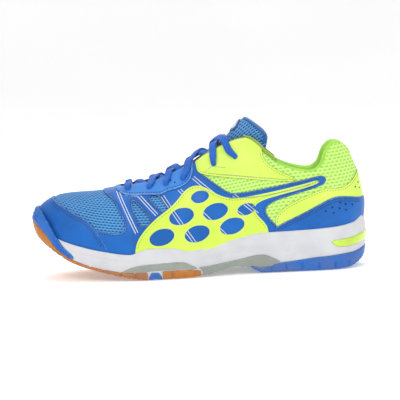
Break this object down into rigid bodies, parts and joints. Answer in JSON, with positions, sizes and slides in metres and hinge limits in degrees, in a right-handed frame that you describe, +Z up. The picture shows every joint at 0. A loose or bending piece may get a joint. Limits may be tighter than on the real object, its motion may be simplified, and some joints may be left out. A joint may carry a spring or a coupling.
{
  "type": "court shoe",
  "caption": "Low-cut laced court shoe for racket sports: wrapped rubber sole, foam midsole, mesh upper with overlays and a padded tongue.",
  "frame": {"origin": "under the middle of the shoe, on the plane that the sole stands on", "axes": "+X from toe to heel, -Y towards the lateral (outer) side, +Z up"},
  "size_m": [0.3, 0.105, 0.1386],
  "materials": {
    "gum_rubber": "matt gum rubber",
    "blue_rubber": "matt moulded rubber",
    "midsole_foam": "satin moulded foam",
    "grey_plastic": "satin moulded plastic",
    "clear_gel": "glossy translucent gel",
    "blue_mesh": "open knitted mesh",
    "yellow_mesh": "open knitted mesh",
    "blue_synthetic": "satin synthetic leather",
    "light_blue_synthetic": "satin synthetic leather",
    "yellow_synthetic": "satin synthetic leather",
    "green_lining": "brushed knitted lining",
    "board": "plain woven board",
    "padding": "open-cell foam",
    "stiffener": "plain thermoplastic sheet",
    "lace_cord": "flat woven lace",
    "lace_tip": "clear-coated film"
  },
  "bodies": {
    "shoe": {"outsole_forefoot": "gum_rubber", "outsole_flex_bar": "blue_rubber", "outsole_heel": "blue_rubber", "midfoot_shank": "grey_plastic", "forefoot_side_rim": "grey_plastic", "toe_guard": "blue_rubber", "heel_gel_cushion": "clear_gel", "forefoot_gel_cushion": "clear_gel", "midsole": "midsole_foam", "vamp_mesh": "blue_mesh", "toe_cap": "blue_synthetic", "toe_puff": "stiffener", "quarter_lateral": "yellow_mesh", "quarter_medial": "yellow_mesh", "eyestay_lateral": "light_blue_synthetic", "eyestay_medial": "light_blue_synthetic", "collar_flap_lateral": "yellow_synthetic", "collar_flap_medial": "yellow_synthetic", "side_panel_lateral": "yellow_synthetic", "side_panel_medial": "yellow_synthetic", "heel_overlay": "blue_synthetic", "heel_backstay": "yellow_synthetic", "heel_counter": "stiffener", "collar_foam": "padding", "collar_lining": "green_lining", "vamp_lining": "green_lining", "strobel_board": "board", "sockliner": "blue_mesh", "lace": "lace_cord", "lace_tip_lateral": "lace_tip", "lace_tip_medial": "lace_tip"},
    "tongue": {"tongue_face": "blue_mesh", "tongue_foam": "padding", "tongue_lining": "green_lining", "tongue_binding": "blue_synthetic", "tongue_label": "midsole_foam"}
  },
  "joints": [
    {"name": "tongue_press", "type": "hinge", "parent": "shoe", "child": "tongue", "pos_m": [-0.066, 0, 0.072], "axis": [0, 1, 0], "range_deg": [0, 8], "stiffness_Nm_per_rad": 0.35, "springref_deg": -14.32}
  ]
}
